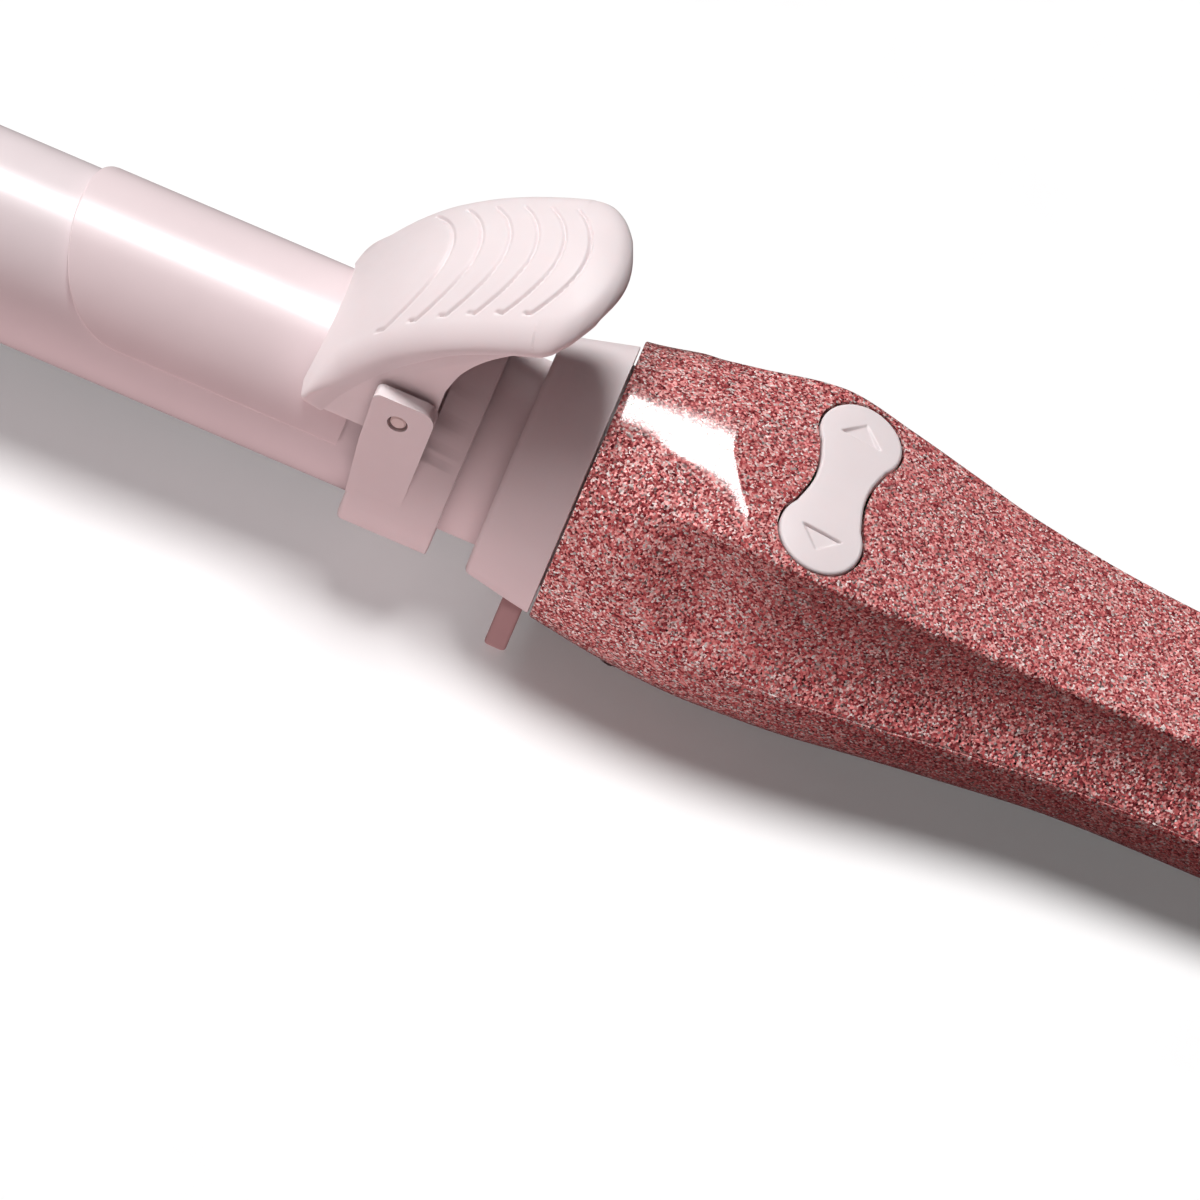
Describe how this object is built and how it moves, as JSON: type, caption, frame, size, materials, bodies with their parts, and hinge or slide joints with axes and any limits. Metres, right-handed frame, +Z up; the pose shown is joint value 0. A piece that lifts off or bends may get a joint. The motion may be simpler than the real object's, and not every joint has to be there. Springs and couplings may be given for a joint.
{
  "type": "curling iron",
  "caption": "Rotating curling iron with a coated barrel, a spring clamp with a thumb lever, a collar with a foot, and a motor handle with a rocker button.",
  "frame": {"origin": "middle of the box's bottom, on the surface that the iron stands on", "axes": "+X from the barrel's tip to the handle's rear, +Z up; the barrel's axis drops 2.43 degrees towards +X"},
  "size_m": [0.363, 0.041, 0.0647],
  "materials": {
    "glitter_shell": "clear-coated rose glitter",
    "pink_plastic": "semi-gloss",
    "barrel_coating": "glossy pale pink ceramic coating",
    "clamp_coating": "glossy pale pink coating",
    "steel": "bright",
    "brass": "satin",
    "bare_aluminium": "satin",
    "black_plastic": "fine grain",
    "carbon": "dull",
    "heater_ceramic": "matt",
    "circuit_board": "solder mask",
    "dark_lens": "polished"
  },
  "bodies": {
    "handle": {"handle_upper_shell": "glitter_shell", "handle_lower_shell": "glitter_shell", "front_collar": "pink_plastic", "front_bush": "brass", "rear_end_cap": "pink_plastic", "gearbox": "steel", "drive_motor": "steel", "motor_cradle": "black_plastic", "brush_holder": "black_plastic", "slip_brush_1": "carbon", "slip_brush_2": "carbon", "slip_brush_3": "carbon", "rocker_board": "circuit_board", "rocker_switch_left": "black_plastic", "rocker_switch_right": "black_plastic", "main_board": "circuit_board", "transformer": "black_plastic", "smoothing_capacitor": "bare_aluminium", "heater_triac": "black_plastic", "power_switch": "black_plastic", "heat_switch": "black_plastic", "display_module": "black_plastic", "display_window": "dark_lens", "shell_screw_left": "steel", "shell_screw_right": "steel", "shell_screw_middle": "steel", "shell_screw_rear": "steel"},
    "barrel": {"barrel_tube": "barrel_coating", "tip_cap": "pink_plastic", "heater_core": "heater_ceramic", "heat_spreader_upper": "bare_aluminium", "heat_spreader_lower": "bare_aluminium", "thermistor": "heater_ceramic", "neck_sleeve": "pink_plastic", "hinge_bracket": "pink_plastic", "hinge_pin": "steel", "torsion_spring": "steel", "bracket_screw_1": "steel", "bracket_screw_2": "steel", "slip_ring_1": "brass", "slip_ring_2": "brass", "slip_ring_3": "brass", "drive_coupling": "black_plastic", "output_shaft": "steel"},
    "clamp": {"clamp_plate": "clamp_coating", "thumb_lever": "pink_plastic", "clamp_rivet_left": "steel", "clamp_rivet_right": "steel"},
    "rocker": {"rocker_button": "pink_plastic"},
    "power_key": {"power_button": "pink_plastic"},
    "heat_key": {"heat_button": "pink_plastic"},
    "cord_bush": {"cord_swivel": "black_plastic"}
  },
  "joints": [
    {"name": "barrel_spin", "type": "hinge", "parent": "handle", "child": "barrel", "pos_m": [-0.01843, 0, 0.02388], "axis": [0.9991, 0, -0.0424], "continuous": true},
    {"name": "clamp_hinge", "type": "hinge", "parent": "barrel", "child": "clamp", "pos_m": [-0.04205, 0, 0.0403], "axis": [0, 1, 0], "range_deg": [0, 22], "stiffness_Nm_per_rad": 0.12, "springref_deg": -28.65},
    {"name": "rocker_tilt", "type": "hinge", "parent": "handle", "child": "rocker", "pos_m": [0.01222, 0, 0.0386], "axis": [0.9991, 0, -0.0424], "range_deg": [-3, 3], "stiffness_Nm_per_rad": 0.2},
    {"name": "power_press", "type": "slide", "parent": "handle", "child": "power_key", "axis": [-0.0424, 0, -0.9991], "range_m": [0, 0.0005], "stiffness_N_per_m": 500},
    {"name": "heat_press", "type": "slide", "parent": "handle", "child": "heat_key", "axis": [-0.0424, 0, -0.9991], "range_m": [0, 0.0005], "stiffness_N_per_m": 500},
    {"name": "cord_turn", "type": "hinge", "parent": "handle", "child": "cord_bush", "pos_m": [0.16936, 0, 0.01491], "axis": [0.9991, 0, -0.0424], "continuous": true}
  ]
}
